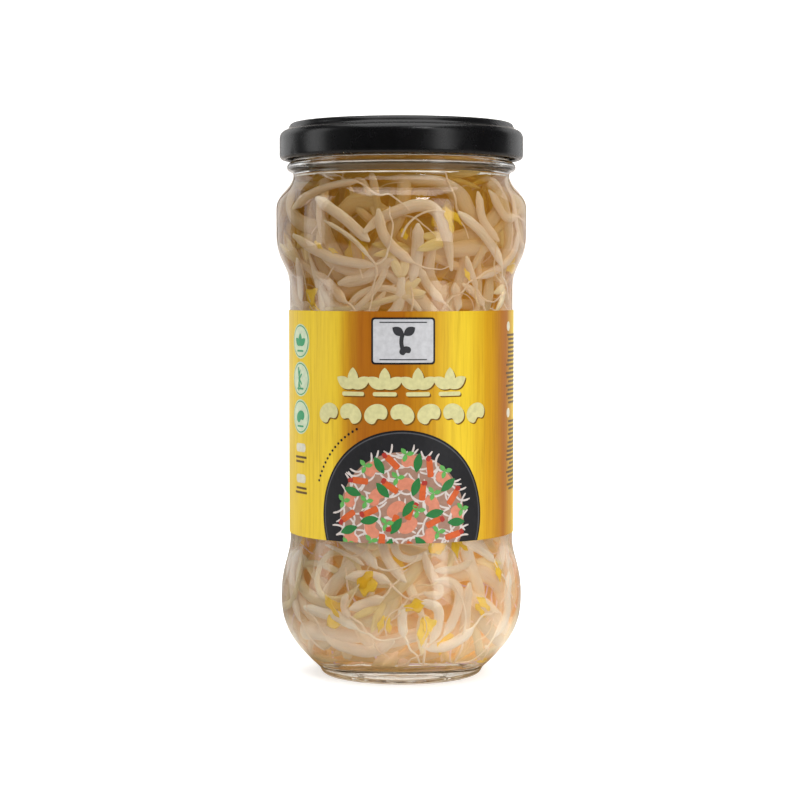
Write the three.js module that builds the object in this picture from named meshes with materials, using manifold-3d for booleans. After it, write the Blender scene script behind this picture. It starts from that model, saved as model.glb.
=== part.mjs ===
// A sealed glass jar of bean sprouts in brine, with a twist-off steel lid and a paper label.
// Millimetres, +Z up, the origin at the centre of the ring that the jar stands on, the front towards -Y.
import * as THREE from "three";
import { mergeVertices } from "three/addons/utils/BufferGeometryUtils.js";
import Module from "manifold-3d";

const wasm = await Module();
wasm.setup();

// Driving dimensions of the jar, from a 63 mm twist-off lid and the outline in the photograph
const LOWER_BULGE = 33.4;
const WAIST = 30.9;
const UPPER_BULGE = 34.6;
const NECK = 30.0;
const FINISH = 29.9;
const BEAD = 31.6;
const STANDING_RING = [19.4, 21.6];
const WALL = 2.3;
const BORE = 27.3;
const RIM_HEIGHT = 150.2;
const BEAD_TOP = 141.2;
const FLOOR = 5.6;
const FACETS = 36;

// Driving dimensions of the lid and its closure
const LID_RADIUS = 33.6;
const LID_TOP = 152.0;
const LID_BOTTOM = 141.9;
const TINPLATE = 0.3;
const LUGS = 4;
const THREAD_SWEEP = THREE.MathUtils.degToRad(62);
const THREAD_RISE = 1.6;
const THREAD_FOOT = 143.7;
const THREAD_RADIUS = 31.3;
const LUG_SWEEP = THREE.MathUtils.degToRad(18);
const LUG_TUCK = THREE.MathUtils.degToRad(3);
const LUG_RADIUS = 30.6;

// Driving dimensions of the label, the brine and the sprouts
const LABEL_LOW = 39.4;
const LABEL_HIGH = 100.7;
const PAPER = 0.15;
const GLUE_GAP = 0.1;
const LAP_FACETS = 2;
const BRINE_LEVEL = 138.0;
const BRINE_GAP = 0.45;
const BRINE_SKIN = 0.6;
const BRINE_FACETS = 24;
const PACK_GAP = 0.5;
const CORE_DEPTH = 3.2;
const CORE_FACETS = 16;

// Driving dimensions of one stem, each as its least and its most
const STEM_LENGTH = [34, 50];
const STEM_RADIUS = [1.5, 1.95];
const STEM_LAYER = [0, 1.1];
const STEM_HOOK = [1, 3.2];
const STEM_BEND = [-0.055, 0.055];
const STEM_SWAY = [-0.006, 0.006];
const STEM_STEPS = 5;
const STEM_SIDES = 5;
const STEM_MARGIN = 0.4;
const HEAD_DIVE = 1.6;
const TAIL_DIVE = 4.0;
const TAPER_FROM = 0.75;
const TAPER_TO = 0.35;
const BEAN = new THREE.Vector3(1.9, 1.6, 3.1);
const BEAN_SHARE = 0.25;

const finish = {
  glass: { color: 0xdfe6df, roughness: 0.05, metalness: 0.0, transparent: true, opacity: 0.35 },
  tinplate: { color: 0x1c1c1d, roughness: 0.35, metalness: 0.6 },
  seal: { color: 0xd8d4c8, roughness: 0.7, metalness: 0.0 },
  paper: { color: 0xe0b93c, roughness: 0.55, metalness: 0.0 },
  brine: { color: 0xd9a85c, roughness: 0.1, metalness: 0.0, transparent: true, opacity: 0.4 },
  sprout: { color: 0xdcc7a4, roughness: 0.5, metalness: 0.0 },
};

function namedMesh(name, geometry, look) {
  const mesh = new THREE.Mesh(geometry, new THREE.MeshStandardMaterial(look));
  mesh.name = name;
  return mesh;
}

// Booleans on closed meshes

function toSolid(geometry) {
  const bare = new THREE.BufferGeometry();
  bare.setAttribute("position", geometry.getAttribute("position"));
  bare.setIndex(geometry.index);
  const merged = mergeVertices(bare, 1e-4);
  return new wasm.Manifold(
    new wasm.Mesh({
      numProp: 3,
      vertProperties: merged.attributes.position.array,
      triVerts: new Uint32Array(merged.index.array),
    }),
  );
}

function toGeometry(solid) {
  const { numProp, numVert, vertProperties, triVerts } = solid.getMesh();
  const positions = new Float32Array(numVert * 3);
  for (let i = 0; i < numVert; i++) {
    positions.set(vertProperties.subarray(i * numProp, i * numProp + 3), i * 3);
  }
  const geometry = new THREE.BufferGeometry();
  geometry.setAttribute("position", new THREE.BufferAttribute(positions, 3));
  geometry.setIndex(new THREE.BufferAttribute(triVerts, 1));
  geometry.computeVertexNormals();
  return geometry;
}

// Joins closed meshes into one body: pockets that the union seals are filled, and loose scraps are dropped.
function fuse(geometries) {
  const whole = geometries.map(toSolid).reduce((joined, next) => joined.add(next));
  const shells = whole.decompose();
  return toGeometry(shells.reduce((most, next) => (next.volume() > most.volume() ? next : most)));
}

// Turns an outline of (radius, height) points round the Z axis.
function revolve(points, facets = FACETS) {
  const geometry = new THREE.LatheGeometry(points, facets);
  geometry.rotateX(Math.PI / 2);
  return geometry;
}

// Closed skin over rings of equal length, with a flat fan on each end.
function skin(rings) {
  const sides = rings[0].length;
  const positions = rings.flat().flatMap((p) => [p.x, p.y, p.z]);
  const faces = [];
  for (let i = 0; i + 1 < rings.length; i++) {
    for (let j = 0; j < sides; j++) {
      const a = i * sides + j;
      const b = i * sides + ((j + 1) % sides);
      faces.push(a, b, a + sides, b, b + sides, a + sides);
    }
  }
  const last = (rings.length - 1) * sides;
  for (let j = 1; j + 1 < sides; j++) {
    faces.push(0, j + 1, j, last, last + j, last + j + 1);
  }
  const geometry = new THREE.BufferGeometry();
  geometry.setAttribute("position", new THREE.Float32BufferAttribute(positions, 3));
  geometry.setIndex(faces);
  return geometry;
}

function onCircle(radius, angle, height) {
  return new THREE.Vector3(radius * Math.cos(angle), radius * Math.sin(angle), height);
}

// A short bar that follows the circle: section(share) gives its inner and outer radius, low and high.
function curvedBar(start, sweep, steps, section) {
  const rings = [];
  for (let i = 0; i <= steps; i++) {
    const { inner, outer, low, high } = section(i / steps);
    const angle = start + (sweep * i) / steps;
    rings.push([
      onCircle(inner, angle, low),
      onCircle(inner, angle, high),
      onCircle(outer, angle, high - 0.35),
      onCircle(outer, angle, low + 0.35),
    ]);
  }
  return skin(rings);
}

// The glass jar: a bulge above and below the waist, a bead under the lid and four short threads

// Points of one cubic curve, without its first point.
function curve(from, a, b, to, divisions) {
  const points = new THREE.CubicBezierCurve(...[from, a, b, to].map((p) => new THREE.Vector2(...p)));
  return points.getPoints(divisions).slice(1);
}

function outerOutline() {
  const corner = (r, z) => [new THREE.Vector2(r, z)];
  const [ringIn, ringOut] = STANDING_RING;
  return [
    ...corner(0, 2.4),
    ...curve([0, 2.4], [8, 2.4], [15, 1.6], [ringIn, 0], 2),
    ...corner(ringOut, 0),
    ...curve([ringOut, 0], [22.2, 0], [22.5, 0.8], [22.8, 1.6], 2),
    ...curve([22.8, 1.6], [28, 6.4], [LOWER_BULGE, 11], [LOWER_BULGE, 21], 4),
    ...curve([LOWER_BULGE, 21], [33.5, 29.5], [31.2, 31.5], [WAIST, 37], 4),
    ...corner(WAIST, 107),
    ...curve([WAIST, 107], [WAIST, 113], [UPPER_BULGE, 114], [UPPER_BULGE, 121.5], 4),
    ...corner(UPPER_BULGE, 128.4),
    ...curve([UPPER_BULGE, 128.4], [UPPER_BULGE, 132.2], [31.2, 133.4], [NECK, 136.6], 4),
    ...corner(NECK, 138.2),
    ...curve([NECK, 138.2], [31, 138.4], [BEAD, 138.9], [BEAD, 139.8], 2),
    ...curve([BEAD, 139.8], [BEAD, 140.7], [31, BEAD_TOP], [FINISH, BEAD_TOP], 2),
    ...corner(FINISH, RIM_HEIGHT - 0.8),
    ...corner(29.2, RIM_HEIGHT),
  ];
}

function innerOutline() {
  const lower = LOWER_BULGE - WALL;
  const waist = WAIST - WALL;
  const upper = UPPER_BULGE - WALL;
  return [
    new THREE.Vector2(0, FLOOR + 0.9),
    new THREE.Vector2(19, FLOOR),
    ...curve([19, FLOOR], [25.6, 6.6], [lower, 12], [lower, 21], 4),
    ...curve([lower, 21], [lower, 29], [29, 31.5], [waist, 37], 3),
    new THREE.Vector2(waist, 107),
    ...curve([waist, 107], [waist, 113.5], [upper, 114.5], [upper, 121.5], 3),
    new THREE.Vector2(upper, 127.4),
    ...curve([upper, 127.4], [upper, 132.6], [28, 132.6], [BORE, 137.4], 3),
    new THREE.Vector2(BORE, RIM_HEIGHT - 0.9),
    new THREE.Vector2(28.1, RIM_HEIGHT),
  ];
}

// The radius of an outline at a height, between the two points beside it.
function radiusAt(outline, height) {
  const z = THREE.MathUtils.clamp(height, outline[0].y, outline.at(-1).y);
  const next = Math.max(1, outline.findIndex((p) => p.y >= z));
  const below = outline[next - 1];
  const above = outline[next];
  return THREE.MathUtils.mapLinear(z, below.y, above.y, below.x, above.x);
}

function threads() {
  const bars = [];
  for (let n = 0; n < LUGS; n++) {
    const start = (n * 2 * Math.PI) / LUGS + Math.PI / 7;
    bars.push(
      curvedBar(start, THREAD_SWEEP, 7, (share) => ({
        inner: FINISH - 0.6,
        outer: THREAD_RADIUS - 0.5 * Math.abs(2 * share - 1) ** 6,
        low: THREAD_FOOT + THREAD_RISE * share,
        high: THREAD_FOOT + THREAD_RISE * share + 1.5,
      })),
    );
  }
  return bars;
}

function glassJar() {
  const outline = [...outerOutline(), ...innerOutline().reverse()];
  return fuse([revolve(outline), ...threads()]);
}

// The lid: drawn tinplate with a raised rim, a stepped shoulder, a rolled hem and four lugs

function lidOutline() {
  const t = TINPLATE;
  const out = LID_RADIUS;
  const points = [
    [0, LID_TOP - 0.5],
    [8.2, LID_TOP - 0.5],
    [9.4, LID_TOP - 0.9],
    [24.2, LID_TOP - 0.9],
    [25.4, LID_TOP],
    [29.6, LID_TOP],
    [30.6, LID_TOP - 0.5],
    [31.1, LID_TOP - 1.5],
    [32.2, LID_TOP - 2.0],
    [33.3, LID_TOP - 3.0],
    [out, LID_TOP - 4.2],
    [out, LID_BOTTOM + 1.2],
    [33.2, LID_BOTTOM + 0.3],
    [32.5, LID_BOTTOM],
    [31.9, LID_BOTTOM + 0.6],
    [out - t, LID_BOTTOM + 2.2],
    [out - t, LID_TOP - 4.3],
    [32.9, LID_TOP - 3.2],
    [30.9, LID_TOP - 1.8],
    [30.3, LID_TOP - 0.7],
    [29.5, LID_TOP - t],
    [25.6, LID_TOP - t],
    [24.4, LID_TOP - 0.9 - t],
    [0, LID_TOP - 0.9 - t],
  ];
  return points.reverse().map(([r, z]) => new THREE.Vector2(r, z));
}

function lugs() {
  const bars = [];
  for (let n = 0; n < LUGS; n++) {
    const start = (n * 2 * Math.PI) / LUGS + Math.PI / 7 + LUG_TUCK;
    bars.push(
      curvedBar(start, LUG_SWEEP, 3, () => ({
        inner: LUG_RADIUS,
        outer: LID_RADIUS - 0.9,
        low: LID_BOTTOM + 0.35,
        high: THREAD_FOOT - 0.25,
      })),
    );
  }
  return bars;
}

function lidShell() {
  return fuse([revolve(lidOutline()), ...lugs()]);
}

// The seal: a ring of soft compound in the channel of the lid, pressed on the rim of the glass
function lidSeal() {
  const low = RIM_HEIGHT + 0.1;
  const high = LID_TOP - TINPLATE - 0.1;
  const outline = [
    [27.0, low + 0.5],
    [27.9, low],
    [29.2, low],
    [29.4, high],
    [26.8, high],
    [27.0, low + 0.5],
  ];
  return revolve(outline.map(([r, z]) => new THREE.Vector2(r, z)));
}

// The label: one strip of paper glued round the waist, its end lapped over its start at the back
function paperLabel() {
  const step = (2 * Math.PI) / FACETS;
  const start = Math.PI / 2 - (LAP_FACETS * step) / 2;
  const lift = PAPER + GLUE_GAP;
  const inner = [];
  const outer = [];
  for (let i = 0; i <= FACETS + LAP_FACETS; i++) {
    const climb = i >= FACETS ? lift : 0;
    const radius = WAIST + GLUE_GAP + climb;
    const angle = start + i * step;
    inner.push(new THREE.Vector2(radius * Math.cos(angle), radius * Math.sin(angle)));
    outer.push(new THREE.Vector2((radius + PAPER) * Math.cos(angle), (radius + PAPER) * Math.sin(angle)));
  }
  const strip = new THREE.Shape([...outer, ...inner.reverse()]);
  const geometry = new THREE.ExtrudeGeometry(strip, { depth: LABEL_HIGH - LABEL_LOW, bevelEnabled: false });
  geometry.translate(0, 0, LABEL_LOW);
  return geometry;
}

// The brine: the liquid between the glass and the packed sprouts, open at its surface

// The side of the brine, which keeps to the wall of the glass up to its surface.
function brineSide() {
  const wall = innerOutline().slice(2);
  const heights = [...wall.map((p) => p.y).filter((z) => z < BRINE_LEVEL), BRINE_LEVEL];
  return heights.map((z) => new THREE.Vector2(radiusAt(wall, z) - BRINE_GAP, z));
}

function brine() {
  const floorGap = 0.3;
  const floorSkin = 1.0;
  const low = FLOOR + 0.9 + floorGap;
  const outside = brineSide();
  const inside = outside.slice(1).map((p) => new THREE.Vector2(p.x - BRINE_SKIN, p.y));
  const floor = [new THREE.Vector2(0, low), new THREE.Vector2(18, low)];
  const innerFloor = [new THREE.Vector2(21, low + floorSkin), new THREE.Vector2(0, low + floorSkin)];
  return revolve([...floor, ...outside, ...inside.reverse(), ...innerFloor], BRINE_FACETS);
}

// The sprouts: wandering stems packed against the glass, rooted in a core of the sprouts behind them

// Repeatable random numbers from 0 to 1.
function seededRandom(seed) {
  let state = seed;
  return () => {
    state = (state * 48271) % 2147483647;
    return state / 2147483647;
  };
}

const PACK_SIDE = brineSide().map((p) => new THREE.Vector2(p.x - BRINE_SKIN - PACK_GAP, p.y));
const TILTS = [-60, -30, 0, 30, 60].map(THREE.MathUtils.degToRad);
const GOLDEN_ANGLE = Math.PI * (3 - Math.sqrt(5));
const PLASTIC_STEP = 0.7548777;

// How far out the middle of a round piece can lie at a height, so that its side stays in the pack.
function snugRadius(height, thickness) {
  const rooms = TILTS.map((tilt) => {
    const side = radiusAt(PACK_SIDE, height + thickness * Math.sin(tilt));
    return side - thickness * Math.cos(tilt);
  });
  return Math.min(...rooms);
}

// The middle line and radii of stem number n: it wanders over the wall and dives inwards at both ends.
function stem(random, n, low, high) {
  const between = ([least, most]) => THREE.MathUtils.lerp(least, most, random());
  const length = between(STEM_LENGTH);
  const thickness = between(STEM_RADIUS);
  const layer = between(STEM_LAYER);
  const hook = between(STEM_HOOK);
  const floor = low + thickness + STEM_MARGIN;
  const ceiling = high - thickness - STEM_MARGIN;
  const pace = length / STEM_STEPS;
  let angle = n * GOLDEN_ANGLE;
  let height = THREE.MathUtils.lerp(floor, ceiling, (n * PLASTIC_STEP) % 1);
  let heading = between([0, 2 * Math.PI]);
  let bend = between(STEM_BEND);
  const sway = between(STEM_SWAY);
  const points = [];
  const radii = [];
  for (let i = 0; i <= STEM_STEPS; i++) {
    const share = i / STEM_STEPS;
    const depth = share < 0.5 ? HEAD_DIVE : TAIL_DIVE;
    const dive = depth * Math.abs(2 * share - 1) ** hook;
    const radius = snugRadius(height, thickness) - Math.max(layer, dive);
    points.push(onCircle(radius, angle, height));
    const tapered = Math.max(0, (share - TAPER_FROM) / (1 - TAPER_FROM));
    radii.push(thickness * THREE.MathUtils.lerp(1, TAPER_TO, tapered));
    angle += (pace * Math.cos(heading)) / radius;
    height += pace * Math.sin(heading);
    if (height < floor || height > ceiling) {
      heading = -heading;
      bend = -bend;
      height = THREE.MathUtils.clamp(height, floor, ceiling);
    }
    heading += bend * pace;
    bend += sway * pace;
  }
  return { points, radii };
}

function stemTube({ points, radii }) {
  const rings = points.map((point, i) => {
    const tangent = points[Math.min(i + 1, points.length - 1)].clone();
    tangent.sub(points[Math.max(i - 1, 0)]).normalize();
    const outward = new THREE.Vector3(point.x, point.y, 0).normalize();
    const side = new THREE.Vector3().crossVectors(tangent, outward).normalize();
    const normal = new THREE.Vector3().crossVectors(side, tangent);
    const ring = [];
    for (let j = 0; j < STEM_SIDES; j++) {
      const turn = (2 * Math.PI * j) / STEM_SIDES;
      const spot = point.clone();
      spot.addScaledVector(normal, radii[i] * Math.cos(turn));
      spot.addScaledVector(side, radii[i] * Math.sin(turn));
      ring.push(spot);
    }
    return ring;
  });
  return skin(rings);
}

// The split bean that is left on the thick end of a stem, flat against the glass.
function beanHead({ points }) {
  const outward = new THREE.Vector3(points[0].x, points[0].y, 0).normalize();
  const along = points[0].clone().sub(points[1]);
  along.addScaledVector(outward, -along.dot(outward)).normalize();
  const across = new THREE.Vector3().crossVectors(along, outward);
  const geometry = new THREE.OctahedronGeometry(1, 1);
  geometry.scale(BEAN.x, BEAN.y, BEAN.z);
  geometry.applyMatrix4(new THREE.Matrix4().makeBasis(across, outward.negate(), along));
  const centre = points[0].clone().addScaledVector(along, 1.2);
  const reach = snugRadius(centre.z, BEAN.x) / Math.hypot(centre.x, centre.y);
  geometry.translate(centre.x * reach, centre.y * reach, centre.z);
  return geometry;
}

// The sprouts further in, which the outer ones lie on.
function core(low, high) {
  const steps = Math.round((high - low) / 8);
  const side = [];
  for (let i = 0; i <= steps; i++) {
    const z = THREE.MathUtils.lerp(low, high, i / steps);
    side.push(new THREE.Vector2(radiusAt(PACK_SIDE, z) - CORE_DEPTH, z));
  }
  return revolve([new THREE.Vector2(0, low), ...side, new THREE.Vector2(0, high)], CORE_FACETS);
}

function bunch(seed, low, high, count) {
  const random = seededRandom(seed);
  const pieces = [core(low + 0.8, high - 0.8)];
  for (let n = 0; n < count; n++) {
    const line = stem(random, n, low, high);
    pieces.push(stemTube(line));
    if (random() < BEAN_SHARE) {
      pieces.push(beanHead(line));
    }
  }
  return fuse(pieces);
}

const BUNCHES = [
  { name: "sprouts_lower", seed: 17, low: 10.4, high: 42.8, count: 22 },
  { name: "sprouts_middle", seed: 23, low: 43.2, high: 97.2, count: 4 },
  { name: "sprouts_upper", seed: 37, low: 97.6, high: 137.6, count: 24 },
];

const jar = new THREE.Group();
jar.add(namedMesh("glass_jar", glassJar(), finish.glass));
jar.add(namedMesh("lid_shell", lidShell(), finish.tinplate));
jar.add(namedMesh("lid_seal", lidSeal(), finish.seal));
jar.add(namedMesh("paper_label", paperLabel(), finish.paper));
jar.add(namedMesh("brine", brine(), finish.brine));
for (const { name, seed, low, high, count } of BUNCHES) {
  jar.add(namedMesh(name, bunch(seed, low, high, count), finish.sprout));
}

export default jar;
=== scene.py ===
"""A sealed glass jar of bean sprouts in brine, on a pale floor in soft studio light."""
import math

import bmesh
import bpy
import numpy as np
from mathutils import Matrix, Vector, noise


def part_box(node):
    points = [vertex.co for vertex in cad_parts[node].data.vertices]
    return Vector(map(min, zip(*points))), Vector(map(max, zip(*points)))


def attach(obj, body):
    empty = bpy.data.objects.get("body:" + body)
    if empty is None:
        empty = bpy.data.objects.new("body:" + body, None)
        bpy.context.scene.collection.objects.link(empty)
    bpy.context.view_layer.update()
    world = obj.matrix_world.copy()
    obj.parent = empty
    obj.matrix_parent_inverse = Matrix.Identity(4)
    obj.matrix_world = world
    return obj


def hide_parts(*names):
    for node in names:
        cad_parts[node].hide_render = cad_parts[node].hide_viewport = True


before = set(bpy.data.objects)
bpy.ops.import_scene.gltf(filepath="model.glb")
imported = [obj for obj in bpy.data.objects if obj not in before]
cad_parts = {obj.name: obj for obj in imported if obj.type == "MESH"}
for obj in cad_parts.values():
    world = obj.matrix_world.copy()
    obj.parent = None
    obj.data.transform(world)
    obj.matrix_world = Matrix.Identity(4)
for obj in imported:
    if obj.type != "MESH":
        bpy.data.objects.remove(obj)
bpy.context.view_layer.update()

# The glass jar. Pressed and blown clear glass, waisted for the label, with a bulge above and below it.
# The neck is a 63 mm twist-off finish: a bead for the filling line's grippers and four short threads.
# The two mould halves leave a faint seam down each side.

MM = 0.001
LOWER_BULGE = 33.4
WAIST = 30.9
UPPER_BULGE = 34.6
NECK = 30.0
FINISH = 29.9
BEAD = 31.6
RING_INNER, RING_OUTER = 19.4, 21.6
WALL = 2.3
BORE = 27.3
RIM_HEIGHT = 150.2
BEAD_TOP = 141.2
FLOOR = 5.6
THREADS = 4
THREAD_SWEEP = math.radians(62)
THREAD_START = math.pi / 7
THREAD_FOOT = 143.7
THREAD_RISE = 1.6
THREAD_PROUD = 1.35
JAR_SIDES = 224


def cubic(start, pull, push, end, steps):
    """The points of one cubic curve, without its first point."""
    points = []
    for i in range(1, steps + 1):
        t = i / steps
        u = 1 - t
        points.append(tuple(u**3 * a + 3 * u * u * t * b + 3 * u * t * t * c + t**3 * d
                            for a, b, c, d in zip(start, pull, push, end)))
    return points


def straight(start, end, steps):
    """Evenly spaced points on a straight line, without its first point."""
    return [tuple(a + (b - a) * i / steps for a, b in zip(start, end)) for i in range(1, steps + 1)]


def drawn(start, *parts):
    """An outline of curves and straight parts, each one from the end of the one before it."""
    points = [start]
    for *pulls, end, steps in parts:
        points += cubic(start, *pulls, end, steps) if pulls else straight(start, end, steps)
        start = end
    return points


def stood(name, mesh):
    """A mesh, or a lamp or camera, stood in the scene as an object."""
    made = bpy.data.objects.new(name, mesh)
    bpy.context.scene.collection.objects.link(made)
    return made


def turned(name, outline, sides, closed=False, relief=None):
    """A piece turned round the jar's axis from (radius, height) points in mm, anticlockwise in the page.
    relief(angles, radius, height) is added to the radius of a ring."""
    angles = np.arange(sides) * 2 * math.pi / sides
    points, rows = [], []
    for radius, height in outline:
        if radius < 1e-6:
            rows.append([len(points)] * sides)
            points.append((0, 0, height))
            continue
        ring = np.full(sides, float(radius))
        if relief:
            ring = ring + relief(angles, radius, height)
        rows.append(list(range(len(points), len(points) + sides)))
        points += list(zip(ring * np.cos(angles), ring * np.sin(angles), np.full(sides, float(height))))
    if closed:
        rows.append(rows[0])
    faces = []
    for low, high in zip(rows, rows[1:]):
        for j in range(sides):
            k = (j + 1) % sides
            corners = tuple(dict.fromkeys((low[j], low[k], high[k], high[j])))
            if len(corners) > 2:
                faces.append(corners)
    mesh = bpy.data.meshes.new(name)
    mesh.from_pydata([(x * MM, y * MM, z * MM) for x, y, z in points], [], faces)
    mesh.polygons.foreach_set("use_smooth", [True] * len(mesh.polygons))
    return stood(name, mesh)


def outer_wall():
    """The outside of the glass, from the middle of the push-up to the rim."""
    return drawn(
        (0, 2.4),
        ((8, 2.4), (15, 1.6), (RING_INNER, 0.15), 12),
        ((19.9, 0), (20.6, 0), (RING_OUTER, 0), 5),
        ((22.2, 0), (22.5, 0.8), (22.8, 1.6), 6),
        ((28, 6.4), (LOWER_BULGE, 11), (LOWER_BULGE, 21), 24),
        ((33.5, 29.5), (31.2, 31.5), (WAIST, 37), 20),
        ((WAIST, 107), 14),
        ((WAIST, 113), (UPPER_BULGE, 114), (UPPER_BULGE, 121.5), 20),
        ((UPPER_BULGE, 128.4), 5),
        ((UPPER_BULGE, 132.2), (31.2, 133.4), (NECK, 136.6), 18),
        ((29.8, 137.4), (29.7, 138.1), (30.4, 138.5), 6),
        ((31.2, 138.7), (BEAD, 139.2), (BEAD, 139.8), 6),
        ((BEAD, 140.7), (31, 141.0), (FINISH, BEAD_TOP + 0.3), 7),
        ((FINISH, RIM_HEIGHT - 0.9), 24),
        ((29.85, 149.9), (29.6, RIM_HEIGHT), (29.1, RIM_HEIGHT), 5),
    )


def inner_wall():
    """The inside of the glass, from the middle of its floor to the rim."""
    lower, waist, upper = (radius - WALL for radius in (LOWER_BULGE, WAIST, UPPER_BULGE))
    return drawn(
        (0, FLOOR + 0.9),
        ((7, FLOOR + 0.9), (13, FLOOR + 0.2), (19, FLOOR), 8),
        ((25.6, 6.6), (lower, 12), (lower, 21), 20),
        ((lower, 29), (29, 31.5), (waist, 37), 16),
        ((waist, 107), 14),
        ((waist, 113.5), (upper, 114.5), (upper, 121.5), 16),
        ((upper, 127.4), 4),
        ((upper, 132.6), (28, 132.6), (BORE, 137.4), 16),
        ((BORE, RIM_HEIGHT - 0.9), 6),
        ((27.3, 149.9), (27.6, RIM_HEIGHT), (28.1, RIM_HEIGHT), 5),
    )


def thread_relief(angles, radius, height):
    """How far the four rising threads stand out of the finish at a height."""
    proud = np.zeros(len(angles))
    if radius < FINISH - 0.2 or height < BEAD_TOP:
        return proud
    for n in range(THREADS):
        share = ((angles - THREAD_START - n * math.tau / THREADS) % math.tau) / THREAD_SWEEP
        middle = THREAD_FOOT + 0.75 + THREAD_RISE * np.clip(share, 0, 1)
        across = np.clip(1 - np.abs(height - middle) / 1.0, 0, 1)
        along = np.clip(np.minimum(share, 1 - share) * 14, 0, 1)
        proud += THREAD_PROUD * (across * across * (3 - 2 * across)) * along
    return proud


def node_maker(tree, family=""):
    """A maker of nodes in a tree. An input that is given a socket is linked to it, any other is set."""

    def add(kind, inputs=None, **settings):
        node = tree.nodes.new(family + kind)
        for key, value in settings.items():
            setattr(node, key, value)
        for key, value in (inputs or {}).items():
            if isinstance(value, bpy.types.NodeSocket):
                tree.links.new(value, node.inputs[key])
            else:
                node.inputs[key].default_value = value
        return node

    return add


def new_material(name):
    """An empty material, its maker of nodes and the object's own coordinates."""
    material = bpy.data.materials.new(name)
    material.use_nodes = True
    material.node_tree.nodes.clear()
    add = node_maker(material.node_tree, "ShaderNode")
    return material, add, add("TexCoord").outputs["Object"]


def cloudy(add, place, scale, detail=2.0, roughness=0.5):
    """Cloudy noise at a place."""
    inputs = {"Vector": place, "Scale": scale, "Detail": detail, "Roughness": roughness}
    return add("TexNoise", inputs).outputs["Fac"]


def counted(add, operation, *values):
    """One sum on values and sockets."""
    return add("Math", dict(enumerate(values)), operation=operation).outputs["Value"]


def ranged(add, value, before, after=(0.0, 1.0), kind="LINEAR"):
    """A value moved from one range to another."""
    inputs = {"Value": value, "From Min": before[0], "From Max": before[1],
              "To Min": after[0], "To Max": after[1]}
    return add("MapRange", inputs, interpolation_type=kind).outputs["Result"]


def ramp(add, value, stops):
    """The colour that a ramp of (place, colour) stops gives a value."""
    node = add("ValToRGB", {"Fac": value})
    elements = node.color_ramp.elements
    while len(elements) < len(stops):
        elements.new(0.5)
    for element, (place, colour) in zip(elements, stops):
        element.position = place
        element.color = (*colour, 1)
    return node.outputs["Color"]


def mixed(add, share, first, second, blend="MIX"):
    """Two colours blended, with a share of the second."""
    return add("Mix", {0: share, 6: first, 7: second}, data_type="RGBA", blend_type=blend).outputs[2]


def bumped(add, height, strength, distance, under=None):
    """The normal of a skin raised by a distance in mm, on the normal of the skin under it."""
    inputs = {"Height": height, "Strength": strength, "Distance": distance * MM}
    if under:
        inputs["Normal"] = under
    return add("Bump", inputs).outputs["Normal"]


def surfaced(add, inputs):
    """The material's surface, with its sockets set or linked."""
    add("OutputMaterial", {"Surface": add("BsdfPrincipled", inputs).outputs["BSDF"]})


def clear_material(name, colour, ior, shadow, ripple_size, ripple_height, seam=False):
    """Clear glass or liquid that bends light, with a rippled skin. Lamps reach what is behind it."""
    material, add, place = new_material(name)
    skin = bumped(add, cloudy(add, place, 1 / (ripple_size * MM)), 1.0, ripple_height)
    if seam:
        off = counted(add, "ABSOLUTE", add("SeparateXYZ", {"Vector": place}).outputs["Y"])
        skin = bumped(add, ranged(add, off, (0.5 * MM, 0.0), kind="SMOOTHSTEP"), 1.0, 0.08, skin)
    bent = add("BsdfPrincipled", {"Base Color": (*colour, 1), "Roughness": 0.0, "IOR": ior,
                                  "Transmission Weight": 1.0, "Normal": skin}).outputs["BSDF"]
    through = add("BsdfTransparent", {"Color": (*shadow, 1)}).outputs["BSDF"]
    mix = add("MixShader", {"Fac": add("LightPath").outputs["Is Shadow Ray"], 1: bent, 2: through})
    add("OutputMaterial", {"Surface": mix.outputs["Shader"]})
    return material


jar = turned("jar_glass", outer_wall() + inner_wall()[::-1], JAR_SIDES, relief=thread_relief)
jar.data.materials.append(clear_material("clear_glass", (0.975, 0.985, 0.975), 1.5, (0.93, 0.94, 0.93),
                                         9.0, 0.10, seam=True))
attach(jar, "jar")
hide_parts("glass_jar")

# The brine. Water with a little salt and acid, tinted amber by the sprouts, filled to the neck.
# It wets the glass, so the sprouts fill the jar to its very edge.

WET = 0.05
BRINE_LEVEL = 138.0
MENISCUS = 0.4
MID_HEIGHT = 60.0
CLEAR_AMBER = (0.97, 0.92, 0.82)
AMBER_SHADOW = (0.96, 0.92, 0.85)


def radius_at(outline, height):
    """The radius of a wall at a height, between the two points beside it."""
    heights = [z for _, z in outline]
    return float(np.interp(height, heights, [r for r, _ in outline]))


WALL_LINE = [(r, z) for r, z in inner_wall() if r > 19.5]


def brine_outline():
    """The outside of the liquid, a hair inside the glass, up to the meniscus and across its surface."""
    floor = [(r, z - WET) for r, z in inner_wall() if r < 18.9]
    side = [(r + WET, z - WET if z < MID_HEIGHT else z + WET) for r, z in WALL_LINE if z < BRINE_LEVEL - 0.5]
    edge = radius_at(WALL_LINE, BRINE_LEVEL) + WET
    surface = [(edge - 0.5, BRINE_LEVEL + 0.12), *((r, BRINE_LEVEL) for r in (edge - 1.6, 14, 0))]
    return [*floor, *side, (edge, BRINE_LEVEL + MENISCUS), *surface]


brine = turned("brine_body", brine_outline(), 160)
brine.data.materials.append(clear_material("amber_brine", CLEAR_AMBER, 1.33, AMBER_SHADOW, 14.0, 0.03))
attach(brine, "jar")
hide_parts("brine")

# The sprouts. Blanched mung bean sprouts, packed by hand and settled against the glass. The outer stems start
# on the lines of the solids, some are laid at given places, and loose ones fill the jar behind them. All are
# then pushed apart until they lie over and under each other, and skinned as wet, half-clear tubes.

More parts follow.
